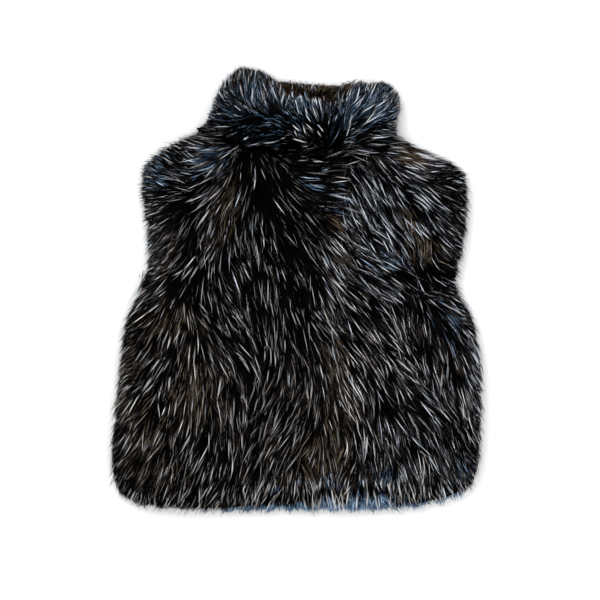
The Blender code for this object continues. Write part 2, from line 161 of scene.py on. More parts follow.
# Creases painted in shade, with fewer pale tips and darker greys: photo x and y of both ends, half width in
# pixels, how much is left
SHADED_CREASES = (
    (222, 116, 280, 124, 11, 0.25),
    (226, 146, 252, 152, 8, 0.35),
    (232, 130, 264, 138, 12, 0.30),
    (262, 116, 335, 126, 10, 0.35),
    (228, 77, 262, 75, 5, 0.40),
    (374, 85, 396, 93, 5, 0.50),
    (228, 134, 330, 142, 10, 0.30),
    (250, 152, 330, 160, 8, 0.45),
    (335, 143, 362, 138, 6, 0.50),
    (360, 134, 384, 129, 10, 0.20),
    (342, 166, 358, 174, 8, 0.45),
    (240, 168, 256, 205, 13, 0.35),
    (262, 170, 272, 225, 12, 0.45),
    (153, 182, 192, 200, 12, 0.32),
    (162, 208, 194, 216, 9, 0.45),
    (196, 215, 198, 285, 5, 0.50),
    (180, 290, 205, 300, 8, 0.35),
    (146, 287, 180, 296, 8, 0.60),
    (130, 318, 162, 330, 9, 0.50),
    (414, 274, 452, 282, 13, 0.25),
    (404, 300, 416, 320, 8, 0.45),
    (445, 180, 455, 202, 11, 0.30),
    (428, 322, 462, 340, 9, 0.45),
    (318, 168, 317, 240, 6, 0.45),
    (312, 250, 308, 338, 8, 0.40),
    (185, 360, 194, 380, 8, 0.55),
    (244, 240, 262, 330, 8, 0.50),
    (284, 190, 296, 340, 12, 0.38),
    (410, 330, 432, 400, 6, 0.50),
    (230, 340, 262, 400, 7, 0.55),
    (250, 332, 270, 372, 9, 0.50),
    (227, 200, 235, 222, 7, 0.50),
    (384, 400, 396, 418, 10, 0.35),
    (408, 402, 430, 418, 9, 0.50),
    (450, 418, 452, 442, 9, 0.45),
    (346, 466, 398, 472, 9, 0.50),
    (184, 400, 196, 420, 9, 0.60),
    (126, 445, 136, 485, 9, 0.50),
    (226, 462, 258, 478, 9, 0.55),
    (245, 400, 255, 420, 9, 0.45),
)

# Spots: photo x, photo y, reach across, reach down, and a share or strength
# Painted blue sheen, a reflection of cool sky light on the fur, with its share of the hairs
BLUE_SHEEN_SPOTS = (
    (248, 90, 20, 17, 0.60),
    (225, 108, 12, 14, 0.40),
    (302, 104, 14, 10, 0.70),
    (344, 110, 15, 14, 0.60),
    (354, 98, 9, 16, 0.70),
    (382, 104, 20, 24, 0.80),
    (208, 164, 14, 16, 0.60),
    (322, 188, 14, 9, 0.20),
    (388, 264, 14, 8, 0.35),
    (150, 170, 16, 16, 0.35),
    (334, 322, 9, 24, 0.15),
    (347, 202, 6, 9, 0.50),
    (455, 320, 14, 16, 0.25),
    (328, 485, 7, 8, 0.70),
    (386, 481, 15, 8, 0.50),
    (345, 496, 60, 5, 0.40),
    (462, 478, 9, 14, 0.35),
    (300, 100, 120, 40, 0.20),
)
# Fur whose greys and pale tips are cool and not warm, with their share
COOL = (
    (300, 90, 130, 50, 1.00),
    (405, 225, 85, 105, 1.00),
    (146, 255, 14, 40, 0.60),
    (165, 175, 50, 36, 0.80),
    (262, 145, 40, 20, 0.80),
    (420, 440, 60, 90, 0.55),
    (474, 370, 12, 70, 0.90),
    (260, 230, 60, 60, 0.40),
)
# Fur painted lighter than plain fur, with how much: partly a lighter colour of its own, partly painted light
# where light falls stronger, as on the band at the hem and at the edges
LIGHTER_AND_LIT = (
    (203, 150, 16, 14, 1.60),
    (209, 192, 9, 26, 2.00),
    (208, 250, 8, 14, 0.80),
    (351, 212, 9, 24, 1.00),
    (331, 222, 8, 22, 1.10),
    (412, 370, 14, 26, 0.60),
    (332, 288, 9, 44, 1.50),
    (342, 380, 17, 44, 1.50),
    (345, 445, 11, 30, 0.90),
    (335, 492, 75, 11, 2.50),
    (125, 400, 14, 40, 1.90),
    (388, 160, 12, 10, 1.00),
    (350, 108, 10, 12, 0.80),
    (476, 375, 12, 60, 1.60),
    (458, 235, 9, 16, 0.90),
    (458, 305, 12, 10, 0.90),
    (300, 90, 90, 24, 0.25),
    (430, 182, 36, 30, 1.35),
    (414, 162, 20, 14, 2.60),
    (144, 245, 12, 50, 1.60),
    (376, 222, 26, 55, 1.00),
    (380, 330, 32, 16, 0.60),
    (262, 140, 40, 13, 0.50),
    (140, 310, 14, 34, 0.70),
    (390, 268, 12, 9, 1.10),
    (270, 450, 12, 14, 0.60),
    (425, 240, 22, 22, 0.60),
    (160, 255, 20, 36, 1.10),
    (400, 300, 60, 20, 0.35),
    (400, 400, 70, 60, 0.48),
    (440, 350, 40, 50, 0.60),
    (405, 480, 80, 24, 1.05),
    (200, 470, 80, 30, 0.20),
    (200, 380, 60, 40, 0.50),
    (180, 320, 60, 30, 0.30),
)
# Brownish fur, with its share of the hairs
BROWNS = (
    (246, 72, 22, 6, 0.60),
    (388, 86, 14, 6, 0.60),
    (312, 84, 42, 13, 0.95),
    (416, 158, 14, 11, 0.95),
    (228, 215, 10, 36, 0.60),
    (342, 234, 6, 12, 0.55),
    (345, 264, 7, 12, 0.55),
    (192, 400, 16, 24, 0.50),
    (310, 460, 12, 24, 0.45),
    (338, 366, 8, 22, 0.60),
    (336, 430, 12, 34, 0.45),
    (165, 330, 24, 16, 0.40),
    (425, 250, 22, 14, 0.45),
    (150, 450, 22, 40, 0.30),
    (410, 225, 12, 20, 0.30),
)


def from_photo(x, y):
    """A place in the photo, in metres."""
    return (np.asarray(x) - MIDDLE_X) * PIXEL, (MIDDLE_Y - np.asarray(y)) * PIXEL


def unit(vectors):
    """The vectors at length 1."""
    return vectors / np.maximum(np.linalg.norm(vectors, axis=-1, keepdims=True), NO_LENGTH)


def between(low, high, share):
    """The value at this share of the way from low to high."""
    return low + (high - low) * share


# Surfaces of the solids


def welded(node):
    """A CAD node's mesh as bmesh, with the corners that the file splits joined again."""
    bm = bmesh.new()
    bm.from_mesh(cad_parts[node].data)
    bmesh.ops.remove_doubles(bm, verts=bm.verts, dist=SAME_PLACE)
    bmesh.ops.triangulate(bm, faces=bm.faces)
    bm.normal_update()
    return bm


def arrays(bm):
    """Points, normals and faces of a bmesh."""
    points = np.array([v.co for v in bm.verts])
    normals = np.array([v.normal for v in bm.verts])
    faces = np.array([[v.index for v in f.verts] for f in bm.faces])
    return points, normals, faces


def node_arrays(node):
    """Points, normals and faces of a CAD node."""
    bm = welded(node)
    found = arrays(bm)
    bm.free()
    return found


def sunk(points, normals, node):
    """Points moved under the surface. A flat inner face stays, and so does the flat underside."""
    inward = normals.copy()
    if node in FUR_UP:
        inward[:, 2] = np.maximum(inward[:, 2], 0)
    elif node == "collar_back":
        inward[:, 2] = np.where(points[:, 2] > SEAM_Z + POINT_NEAR, inward[:, 2].clip(0), 0)
    else:
        inward[:, 2] = 0
    moved = points - inward * SINK
    moved[:, 2] = np.maximum(moved[:, 2], PILE_CLEAR)
    return moved


def face_areas(points, faces):
    """Area and normal of each face."""
    corners = points[faces]
    across = np.cross(corners[:, 1] - corners[:, 0], corners[:, 2] - corners[:, 0])
    return np.linalg.norm(across, axis=1) / 2, unit(across)


def carrying_faces(points, faces, node):
    """The faces that fur grows on, in two groups.

    The first leaves out a flat inner face, and the second is the part of that face that looks up.
    """
    _, normal = face_areas(points, faces)
    if node in FUR_UP:
        return faces[normal[:, 2] > LOOKS_DOWN], faces[:0]
    flat = (normal[:, 2] > LOOKS_UP) & (points[faces][:, :, 2].max(1) < SEAM_Z + FACE_NEAR)
    return faces[~flat], faces[flat]


def bare(points):
    """Which points have nothing over them."""
    up = Vector((0, 0, 1))
    start = Vector((0, 0, RAY_START))
    return np.array([over_all.ray_cast(Vector(p) + start, up)[0] is None for p in points])


def scattered(points, normals, faces, density):
    """Places and normals spread evenly over the faces, so many on a square metre."""
    corners = points[faces]
    area, _ = face_areas(points, faces)
    count = int(density * area.sum())
    pick = rng.choice(len(faces), count, p=area / area.sum())
    a, b = rng.random((2, count))
    over = a + b > 1
    a, b = np.where(over, 1 - a, a), np.where(over, 1 - b, b)
    weight = np.stack([1 - a - b, a, b], 1)[..., None]
    return (corners[pick] * weight).sum(1), unit((normals[faces[pick]] * weight).sum(1))


# Combing


def owner_of(x, y):
    """Which CAD node shows at each place, seen from above."""
    found = []
    for px, py in zip(x, y):
        hit = over_all.ray_cast(Vector((px, py, 1)), Vector((0, 0, -1)))
        found.append(face_owner[hit[2]] if hit[2] is not None else -1)
    return np.array(found)


def nap_at(points, node):
    """Nap direction in plan. Readings on other nodes count from further off."""
    far = np.where(comb_owner == NODES.index(node), 1.0, COMB_OTHER)
    gap = np.linalg.norm(points[:, None, :2] - comb_at[None], axis=2) * far
    weight = 1 / (gap + COMB_REACH) ** COMB_POWER
    return unit(weight @ comb_flow)


def spot_weight(points, spots):
    """For each point, the strongest of some elliptic spots times its last column."""
    best = np.zeros(len(points))
    for x, y, across, down, share in spots:
        cx, cy = from_photo(x, y)
        away = ((points[:, 0] - cx) / (across * PIXEL)) ** 2
        away += ((points[:, 1] - cy) / (down * PIXEL)) ** 2
        best = np.maximum(best, share * np.exp(-away))
    return best


def clumpy(points, scale, offset):
    """Smooth noise from 0 to 1 at each point, drawn out along the nap's main run."""
    places = [Vector((x * scale, y * scale * DRAWN_OUT, offset)) for x, y, _ in points]
    return np.array([0.5 + 0.5 * noise.noise(place) for place in places]).clip(0, 1)


def drawn_to_locks(line, root, normal):
    """Draws the tips of neighbouring tufts together into pointed locks.

    Gives the lines, each tuft's lock and how far out in it the tuft stands, in metres.
    """
    chosen = rng.random(len(root)) < LOCK_SHARE
    centres = root[chosen]
    tree = KDTree(len(centres))
    for k, centre in enumerate(centres):
        tree.insert(Vector(centre), k)
    tree.balance()
    nearest = np.array([tree.find(Vector(p))[1] for p in root])
    pull = centres[nearest] - root
    pull -= normal * (pull * normal).sum(1, keepdims=True)
    share = np.linspace(0, 1, line.shape[1])[None, :, None] ** LOCK_POWER
    return line + pull[:, None] * share * LOCK_PULL, nearest, np.linalg.norm(pull, axis=1)


def apart(points, flow, across, along):
    """Picks points in random order that keep their distance: so far across the nap, and so far along it."""
    cell = max(across.max(), along.max())
    grid = {}
    chosen = np.zeros(len(points), bool)
    keys = np.floor(points / cell).astype(int)
    for k in rng.permutation(len(points)):
        cx, cy, cz = keys[k]
        near = [
            j
            for x in (cx - 1, cx, cx + 1)
            for y in (cy - 1, cy, cy + 1)
            for z in (cz - 1, cz, cz + 1)
            for j in grid.get((x, y, z), ())
        ]
        if near:
            away = points[near] - points[k]
            run = away[:, 0] * flow[k, 0] + away[:, 1] * flow[k, 1]
            side = np.sqrt(np.maximum((away**2).sum(1) - run**2, 0))
            if ((run / along[k]) ** 2 + (side / across[k]) ** 2 < 1).any():
                continue
        chosen[k] = True
        grid.setdefault((cx, cy, cz), []).append(k)
    return chosen


def left_by_shaded_creases(points):
    """The share of pale tips that the creases' painted shade leaves at each point."""
    left = np.ones(len(points))
    for x0, y0, x1, y1, half, share in SHADED_CREASES:
        a, b = np.array(from_photo(x0, y0)), np.array(from_photo(x1, y1))
        along = (((points[:, :2] - a) @ (b - a)) / ((b - a) @ (b - a))).clip(0, 1)
        away = np.linalg.norm(points[:, :2] - a - along[:, None] * (b - a), axis=1)
        left *= 1 - (1 - share) * np.exp(-((away / (half * PIXEL)) ** 2))
    return left


def lift_at(points, lift):
    """Root lift in radians, raised where the hair points at the viewer."""
    for x, y, reach, most in LIFTS:
        cx, cy = from_photo(x, y)
        away = np.hypot(points[:, 0] - cx, points[:, 1] - cy) / (reach * PIXEL)
        lift = lift + (math.radians(most) - lift) * np.exp(-(away**2))
    return lift


# Hairs


def turned(flow, angle):
    """Plan directions turned by angles in radians."""
    x = flow[:, 0] * np.cos(angle) - flow[:, 1] * np.sin(angle)
    y = flow[:, 0] * np.sin(angle) + flow[:, 1] * np.cos(angle)
    return np.stack([x, y], 1)


def tuft_curves(node, root, normal, flow, length, lift, droop, bend):
    """Each tuft's middle line, as (tufts, TUFT_STEPS + 1, 3), with its sideways direction."""
    flat = np.zeros((len(flow), 1))
    flow3 = np.concatenate([flow, flat], 1)
    side = unit(np.cross(normal, flow3))
    line = [root]
    for k in range(TUFT_STEPS):
        share = (k + 0.5) / TUFT_STEPS
        if k and k % COMB_STEPS == 0:
            combed = unit(flow * OLD_NAP + nap_at(line[-1], node) * NEW_NAP)
            flow3 = np.concatenate([combed, flat], 1)
        angle = lift * (1 - share) ** LIFT_POWER + TIP_LIFT * share
        turn = (bend * share)[:, None]
        ahead = flow3 * np.cos(turn) + side * np.sin(turn)
        ahead = unit(ahead - normal * (ahead * normal).sum(1, keepdims=True) * HUG)
        step = ahead * np.cos(angle)[:, None] + normal * np.sin(angle)[:, None]
        step[:, 2] -= droop * share
        line.append(line[-1] + unit(step) * (length / TUFT_STEPS)[:, None])
    return np.stack(line, 1), side


def kept_close(paths, allow):
    """Draws hairs back whose tips stand further off the solids than they may, and shortens them a little.

    allow holds how far on top and at the outline.
    """
    todo = np.arange(len(paths))
    above = Vector((0, 0, 1))
    for _ in range(DRAW_ROUNDS):
        factor = np.ones(len(todo))
        for k, tip in enumerate(paths[todo, -1]):
            tip = Vector(tip)
            near, _, _, gap = over_all.find_nearest(tip)
            _, facing, _, _ = over_all.ray_cast(tip, above)
            off = -gap if facing is not None and facing.z > 0 else gap
            flat = abs(tip.z - near.z) / max(gap, SAME_PLACE) if off > 0 else 1.0
            top, rim = allow[todo[k]]
            most = rim + (top - rim) * flat
            if off > most:
                factor[k] = (SINK + most) / (SINK + off)
        factor = factor[:, None, None]
        shrink = factor**DRAW_POWER
        root = paths[todo, :1]
        reach = paths[todo, -1:] - root
        paths[todo] = root + (paths[todo] - root) * shrink - reach * (shrink - factor)
        todo = todo[factor[:, 0, 0] < 1]
    return paths


def sampled(line, shares):
    """The line's points at these shares of its length."""
    at = np.asarray(shares) * (line.shape[1] - 1)
    low = np.minimum(at.astype(int), line.shape[1] - 2)
    part = (at - low)[None, :, None]
    return line[:, low] * (1 - part) + line[:, low + 1] * part


def hairs(line, side, normal, kind):
    """Hairs of each tuft: their roots spread about the tuft's, and their tips drawn together."""
    each, spread = kind["each"], kind["spread"]
    count = len(line) * each
    path = np.repeat(sampled(line, kind["shares"]), each, axis=0)
    side, up = np.repeat(side, each, axis=0), np.repeat(normal, each, axis=0)
    ahead = unit(np.cross(side, up))
    share = np.asarray(kind["shares"])[None, :, None]
    offset = side * rng.normal(0, spread, (count, 1)) + ahead * rng.normal(0, spread, (count, 1))
    length = rng.uniform(*kind["stretch"], (count, 1, 1))
    start = path[:, :1]
    path = start + (path - start) * length
    path = path + offset[:, None] * (1 - kind["clump"] * share**CLUMP_POWER)
    wave = rng.normal(0, kind["waver"], (count, 1, 3)) * share**WAVER_POWER
    return path + wave, up


def ribbons(paths, up, width, profile, tone):
    """Tapering ribbons along the paths: points, triangles, and each point's tone and share of the length."""
    count, cuts = paths.shape[:2]
    along = unit(np.gradient(paths, axis=1))
    plan = np.linalg.norm(paths[:, -1, :2] - paths[:, 0, :2], axis=1)
    width = width * (plan / (SHORT_LOOK * np.median(plan))).clip(THINNEST, 1)
    across = unit(np.cross(along, up[:, None]))
    roll = rng.normal(0, ROLL, (count, 1, 1))
    across = across * np.cos(roll) + np.cross(along, across) * np.sin(roll)
    half = across * (width[:, None] * np.asarray(profile)[None] / 2)[..., None]
    left, right = (paths - half)[:, :-1], (paths + half)[:, :-1]
    points = np.concatenate([np.stack([left, right], 2).reshape(count, -1, 3), paths[:, -1:]], 1)
    share = np.linspace(0, 1, cuts)
    v = np.concatenate([np.repeat(share[:-1], 2), [1.0]])
    u = tone[:, None] + np.concatenate([np.tile([-EDGE_TONE, EDGE_TONE], cuts - 1), [0.0]])
    uv = np.stack([u, np.broadcast_to(v, u.shape)], 2)
    tris = []
    for k in range(cuts - 2):
        a = 2 * k
        tris += [(a, a + 1, a + 3), (a, a + 3, a + 2)]
    tris.append((2 * cuts - 4, 2 * cuts - 3, 2 * cuts - 2))
    per = 2 * cuts - 1
    faces = np.array(tris)[None] + (np.arange(count) * per)[:, None, None]
    points[..., 2] = np.maximum(points[..., 2], FLOOR_CLEAR)
    return points.reshape(-1, 3), faces.reshape(-1, 3), uv.reshape(-1, 2)


def mesh_object(name, points, faces, uv, mat):
    """A mesh from arrays, with its map named OFBake."""
    mesh = bpy.data.meshes.new(name)
    mesh.vertices.add(len(points))
    mesh.vertices.foreach_set("co", points.astype(np.float32).ravel())
    mesh.loops.add(faces.size)
    mesh.loops.foreach_set("vertex_index", faces.astype(np.int32).ravel())
    mesh.polygons.add(len(faces))
    mesh.polygons.foreach_set("loop_start", np.arange(0, faces.size, 3, dtype=np.int32))
    mesh.update(calc_edges=True)
    mesh.validate()
    layer = mesh.uv_layers.new(name="OFBake")
    layer.data.foreach_set("uv", uv[faces.ravel()].astype(np.float32).ravel())
    mesh.shade_smooth()
    mesh.materials.append(mat)
    made = bpy.data.objects.new(name, mesh)
    bpy.context.scene.collection.objects.link(made)
    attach(made, "root")
    return made


# Materials


def ramp(nodes, stops):
    """A node that turns a share from 0 to 1 into a colour, by stops of place and colour."""
    made = nodes.new("ShaderNodeValToRGB")
    made.color_ramp.interpolation = "LINEAR"
    elements = made.color_ramp.elements
    while len(elements) > 1:
        elements.remove(elements[-1])
    elements[0].position, elements[0].color = stops[0][0], (*stops[0][1], 1)
    for place, colour in stops[1:]:
        elements.new(place).color = (*colour, 1)
    return made


def hair_material():
    """Colour by tone across the map and by length up it."""
    mat = bpy.data.materials.new("hair")
    mat.use_nodes = True
    nodes, links = mat.node_tree.nodes, mat.node_tree.links
    shader = nodes["Principled BSDF"]
    shader.inputs["Roughness"].default_value = 0.46
    shader.inputs["Specular IOR Level"].default_value = 0.004
    uv = nodes.new("ShaderNodeUVMap")
    uv.uv_map = "OFBake"
    split = nodes.new("ShaderNodeSeparateXYZ")
    links.new(uv.outputs[0], split.inputs[0])
    # Tones from 0.46 to 0.62 hold the painted blue sheen, a reflection of cool sky light
    root = ramp(
        nodes,
        [
            (0.00, (0.0003, 0.0003, 0.0003)),
            (0.134, (0.0013, 0.0011, 0.0011)),
            (0.152, (0.0003, 0.0003, 0.0003)),
            (0.286, (0.0012, 0.0012, 0.0014)),
            (0.32, (0.0050, 0.0036, 0.0024)),
            (0.42, (0.0240, 0.0175, 0.0110)),
            (0.46, (0.0016, 0.0026, 0.0040)),
            (0.62, (0.0200, 0.0320, 0.0500)),
            (0.66, (0.0016, 0.0016, 0.0018)),
            (1.00, (0.0030, 0.0030, 0.0034)),
        ],
    )
    band = ramp(
        nodes,
        [
            (0.00, (0.0005, 0.0005, 0.0005)),
            (0.078, (0.0048, 0.0040, 0.0036)),
            (0.134, (0.0480, 0.0385, 0.0320)),
            (0.152, (0.0005, 0.0005, 0.0006)),
            (0.229, (0.0039, 0.0041, 0.0049)),
            (0.286, (0.0400, 0.0415, 0.0480)),
            (0.32, (0.0200, 0.0140, 0.0085)),
            (0.42, (0.1700, 0.1250, 0.0800)),
            (0.46, (0.0090, 0.0160, 0.0250)),
            (0.56, (0.0660, 0.1300, 0.2250)),
            (0.62, (0.4000, 0.5500, 0.7300)),
            (0.66, (0.0520, 0.0450, 0.0410)),
            (0.80, (0.2350, 0.2230, 0.2180)),
            (0.90, (0.7600, 0.7450, 0.7350)),
            (0.92, (0.1500, 0.1650, 0.1900)),
            (1.00, (0.7800, 0.8500, 0.9500)),
        ],
    )
    share = ramp(
        nodes,
        [
            (0.00, (0, 0, 0)),
            (0.36, (0, 0, 0)),
            (0.58, (1, 1, 1)),
            (0.80, (1, 1, 1)),
            (1.00, (0.18, 0.18, 0.18)),
        ],
    )
    mix = nodes.new("ShaderNodeMix")
    mix.data_type = "RGBA"
    links.new(split.outputs["X"], root.inputs[0])
    links.new(split.outputs["X"], band.inputs[0])
    links.new(split.outputs["Y"], share.inputs[0])
    links.new(share.outputs["Color"], mix.inputs["Factor"])
    links.new(root.outputs["Color"], mix.inputs["A"])
    links.new(band.outputs["Color"], mix.inputs["B"])
    links.new(mix.outputs["Result"], shader.inputs["Base Color"])
    return mat


def pile_material(name, dark, light):
    """The dense under-pile: dark, mottled and combed."""
    mat = bpy.data.materials.new(name)
    mat.use_nodes = True
    nodes, links = mat.node_tree.nodes, mat.node_tree.links
    shader = nodes["Principled BSDF"]
    shader.inputs["Roughness"].default_value = 0.75
    shader.inputs["Specular IOR Level"].default_value = 0.01
    place = nodes.new("ShaderNodeTexCoord")
    stretch = nodes.new("ShaderNodeMapping")
    stretch.inputs["Scale"].default_value = (1.0, 0.22, 1.0)
    mottle = nodes.new("ShaderNodeTexNoise")
    mottle.inputs["Scale"].default_value = 420
    mottle.inputs["Detail"].default_value = 4
    colour = ramp(nodes, [(0.35, dark), (0.75, light)])
    bump = nodes.new("ShaderNodeBump")
    bump.inputs["Strength"].default_value = 0.8
    bump.inputs["Distance"].default_value = 0.0015
    links.new(place.outputs["Object"], stretch.inputs["Vector"])
    links.new(stretch.outputs["Vector"], mottle.inputs["Vector"])
    links.new(mottle.outputs["Fac"], colour.inputs[0])
    links.new(colour.outputs["Color"], shader.inputs["Base Color"])
    links.new(mottle.outputs["Fac"], bump.inputs["Height"])
    links.new(bump.outputs["Normal"], shader.inputs["Normal"])
    return mat


# Building one node's cloth and fur


def add_pile(node, mat):
    """The cloth with its dense under-pile, a shell on the solid's form."""
    bm = welded(node)
    points, normals, _ = arrays(bm)
    for vert, place in zip(bm.verts, sunk(points, normals, node)):
        vert.co = place
    mesh = bpy.data.meshes.new(node + "_pile")
    bm.to_mesh(mesh)
    bm.free()
    mesh.shade_smooth()
    mesh.materials.append(mat)
    made = bpy.data.objects.new(mesh.name, mesh)
    bpy.context.scene.collection.objects.link(made)
    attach(made, "root")
    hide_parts(node)
    return made


# For each node: tufts on a square metre, hair length, lift in degrees, and how far tips may stand off
GROWTH = {
    "front_right": (62000, 0.037, 34, 0.0050),
    "front_left": (62000, 0.037, 34, 0.0050),
    "collar_right": (105000, 0.042, 38, 0.0065),
    "collar_left": (105000, 0.042, 38, 0.0065),
    "collar_back": (52000, 0.030, 36, 0.0050),
    "back": (23000, 0.032, 30, 0.0050),
}
# The strips that the fronts leave bare carry denser and shorter fur
STRIP_DENSITY, STRIP_LENGTH = 120000, 0.55
# Least and most of a tuft's lift, length and distance off, against its node's
LIFT_SPREAD, LENGTH_SPREAD, OFF_SPREAD = (0.7, 1.35), (0.78, 1.2), (0.2, 1.5)
# Lift on the underside, the lift from which hair is shorter, and how much of it is left
UNDER_LIFT, STEEP_LIFT, STEEP_LENGTH = math.radians(4), math.radians(50), 0.5
# Waves in the nap and in the hairs' bend: noise scale, noise offset, turn in radians, and a tuft's own turn
NAP_WAVE, NAP_OFFSET, NAP_TURN, NAP_OWN = 45, 3.0, 0.5, 0.07
BEND_WAVE, BEND_OFFSET, BEND_TURN, BEND_OWN = 60, 8.0, 0.9, 0.12
# Upward share of the normal under which a tuft is on a side, and how far hair droops there and on top
SIDE_NORMAL, SIDE_DROOP, TOP_DROOP = 0.5, 0.35, 0.05
# How loosely the collar's tufts lie and how fine their hair is, where the body's are 1
COLLAR_LOOSE, COLLAR_FINE = 2.2, 0.75
# Share of the hairs held off a band or a dip that may reach past it after all
HELD_SHARE = 0.6

# The kinds of hair
# shares, profile: where along its length a hair has cuts, and its width at each
# each, spread, clump: hairs to a tuft, the spread of their roots, and how far their tips draw together
# stretch, waver: least and most length against the tuft's, and how far tips stray
# reach, fuzz, rare: how far tips may stand off on top and at the outline, and the power that makes those few
# past: how far tips may reach onto a band or a dip that the fur is held off
# width, broad: least and most width, and its factor on the body and on the collar
# greys, blue sheen, brown, skew, dusk: darkest and lightest grey, and factors of the tufts' tints, the blue
# sheen being painted reflection
DARK_HAIR = {"shares": (0.0, 0.34, 0.68, 1.0), "profile": (0.7, 1.0, 0.75, 0.0)}
PALE_HAIR = {"shares": (0.0, 0.30, 0.55, 0.80, 1.0), "profile": (0.5, 0.8, 1.0, 0.75, 0.0)}
KINDS = {
    "under": dict(
        DARK_HAIR,
        each=3,
        spread=0.0026,
        clump=0.45,
        stretch=(0.60, 0.95),
        waver=0.0020,
        reach=0.6,
        fuzz=0.0,
        rare=2.2,
        past=0.0,
        width=(0.0011, 0.0019),
        broad=(1.0, COLLAR_FINE),
        greys=(0.01, 0.14),
        blue_sheen=0.8,
        brown=0.8,
        skew=2.6,
        dusk=2.0,
    ),
    "guard": dict(
        DARK_HAIR,
        each=3,
        spread=0.0020,
        clump=0.75,
        stretch=(0.85, 1.15),
        waver=0.0012,
        reach=1.0,
        fuzz=1.0,
        rare=2.2,
        past=0.0,
        width=(0.0004, 0.0009),
        broad=(1.0, COLLAR_FINE),
        greys=(0.02, 0.30),
        blue_sheen=0.8,
        brown=0.7,
        skew=1.5,
        dusk=1.0,
    ),
    "pale": dict(
        PALE_HAIR,
        each=2,
        spread=0.0006,
        clump=0.92,
        stretch=(0.98, 1.28),
        waver=0.0004,
        reach=1.2,
        fuzz=1.5,
        rare=1.4,
        past=0.009,
        width=(0.00045, 0.00085),
        broad=(0.87, 1.2),
    ),
    "dim": dict(
        PALE_HAIR,
        each=1,
        spread=0.0006,
        clump=0.90,
        stretch=(0.90, 1.20),
        waver=0.0008,
        reach=1.0,
        fuzz=1.0,
        rare=2.2,
        past=0.0,
        width=(0.0003, 0.0006),
        broad=(1.0, 1.0),
    ),
}
# Least and most length of the fronts' pale hair
FRONT_STRETCH = (1.08, 1.46)
# Least distance between pale tips, across the nap and along it, for the bright ones and the dim ones
BRIGHT_ACROSS, BRIGHT_ALONG = 0.0046, 0.0120
DIM_ACROSS, DIM_ALONG = 0.0022, 0.0060
# Factors of the bright ones' distance: on the collar, in plain fur, and less this for the lighter fur with
# its painted light, to a limit
GAP_COLLAR, GAP_PLAIN, GAP_LIGHTER, GAP_LIMIT = 0.85, 1.06, 0.24, 1.3

# Share of a hair's length at which its place in the tint tables is read
SHOWN = 0.65
# Tones are places across the hair's map, where hair_material has their colours.
# Start and span of each colour of dark hair: greys with their greatest draw, then browns and the painted
# blue sheen
WARM_GREY, COOL_GREY, GREY_SPAN, GREYEST = 0.004, 0.152, 0.47, 0.28
BROWN, BROWN_SPAN = 0.32, 0.10
SHEEN_TONE, SHEEN_SPAN = 0.46, 0.16
# The same of bright tips, the last of them the painted blue sheen
WARM_TIP, WARM_TIP_SPAN = 0.72, 0.18
COOL_TIP, COOL_TIP_SPAN = 0.92, 0.075
SHEEN_TIP = (0.56, 0.62)
# Least and most tone of dim tips, and of their cool tones, their painted blue sheen and their browns
DIM_TIP, DIM_COOL, DIM_SHEEN, DIM_BROWN = (0.66, 0.80), (0.921, 0.932), (0.53, 0.60), (0.34, 0.41)
# Shine of bright tips: in plain fur, what the lighter fur with its painted light and the collar add, and its
# spread
SHINE, SHINE_LIGHTER, SHINE_COLLAR, SHINE_SPREAD = 0.50, 0.30, 0.24, 0.27
# Each lock has a lock tone, which is drawn from 0 to 1.
# Share of the pale tips at lock tone 0 and 1, and share of the painted blue sheen that shows in pale tips
TIPS_COLLAR, TIPS_BODY = (0.3, 1.7), (0.75, 1.25)
SHEEN_COLLAR, SHEEN_BODY = 0.3, 0.5
# The inner fur behind the neck: its share of the painted blue sheen, its brown, and how much lighter its
# greys are
INNER_SHEEN, INNER_BROWN, INNER_GREY = 0.15, 0.8, 1.7
# Painted blue sheen of sky light, and its skew, on the strips that the fronts leave bare, such as the band
# at the hem
STRIP_SHEEN, STRIP_SKEW = 2, 0.45
# A high skew makes light tones of the painted blue sheen few: what the sheen takes off, and its factor at
# lock tone 0 and 1
SKEW_SHEEN, SKEW_LOCK = 0.4, (0.3, 2.0)
# A high dusk makes light browns few: its value, its divisor in the lighter fur with its painted light, and
# its factor as above
DUSK, DUSK_LIGHTER, DUSK_LOCK = 2.2, 1.5, (0.4, 1.7)
# Greys: least, what clumps add, their noise scale and power, what locks add, and the factor in plain fur
GREY, GREY_CLUMP, GREY_WAVE, GREY_POWER, GREY_LOCK, GREY_PLAIN = 0.35, 0.8, 70, 1.5, 0.5, 0.72
# Power by which the creases' painted shade darkens greys, and the greys' factor in a lock's middle, its fall
# towards the lock's edge, painted shade in the gaps between locks, and its least
CREASE_SHADE_POWER, LOCK_GREY, LOCK_GAP_SHADE, LOCK_LEAST = 0.6, 1.15, 35, 0.5


def tones(low, high, grey, blue_sheen, brown, skew, cool, dusk):
    """Tone of each dark hair: black to grey, or a brown tint or the painted blue sheen where these lie,
    darker with a high skew or dusk.
    """
    count = len(grey)
    tone = (low + (high - low) * rng.random(count) * grey).clip(0, GREYEST)
    tone = np.where(rng.random(count) < cool, COOL_GREY, WARM_GREY) + GREY_SPAN * tone
    draw = rng.random(count)
    # Where the painted blue sheen lies, its share of the hairs take bluish tones
    tone = np.where(draw < blue_sheen, SHEEN_TONE + SHEEN_SPAN * rng.random(count) ** skew, tone)
    return np.where(draw > 1 - brown, BROWN + BROWN_SPAN * rng.random(count) ** dusk, tone)


def down_the_opening(paths):
    """Which hairs run straight down where the fronts meet, where a bright one would draw a line."""
    across = paths[:, :, 0]
    near = np.abs(across.mean(1) - OPENING_X) < OPENING_REACH
    return near & (np.ptp(across, axis=1) < OPENING_TURN) & (paths[:, 0, 1] > HEM_Y)


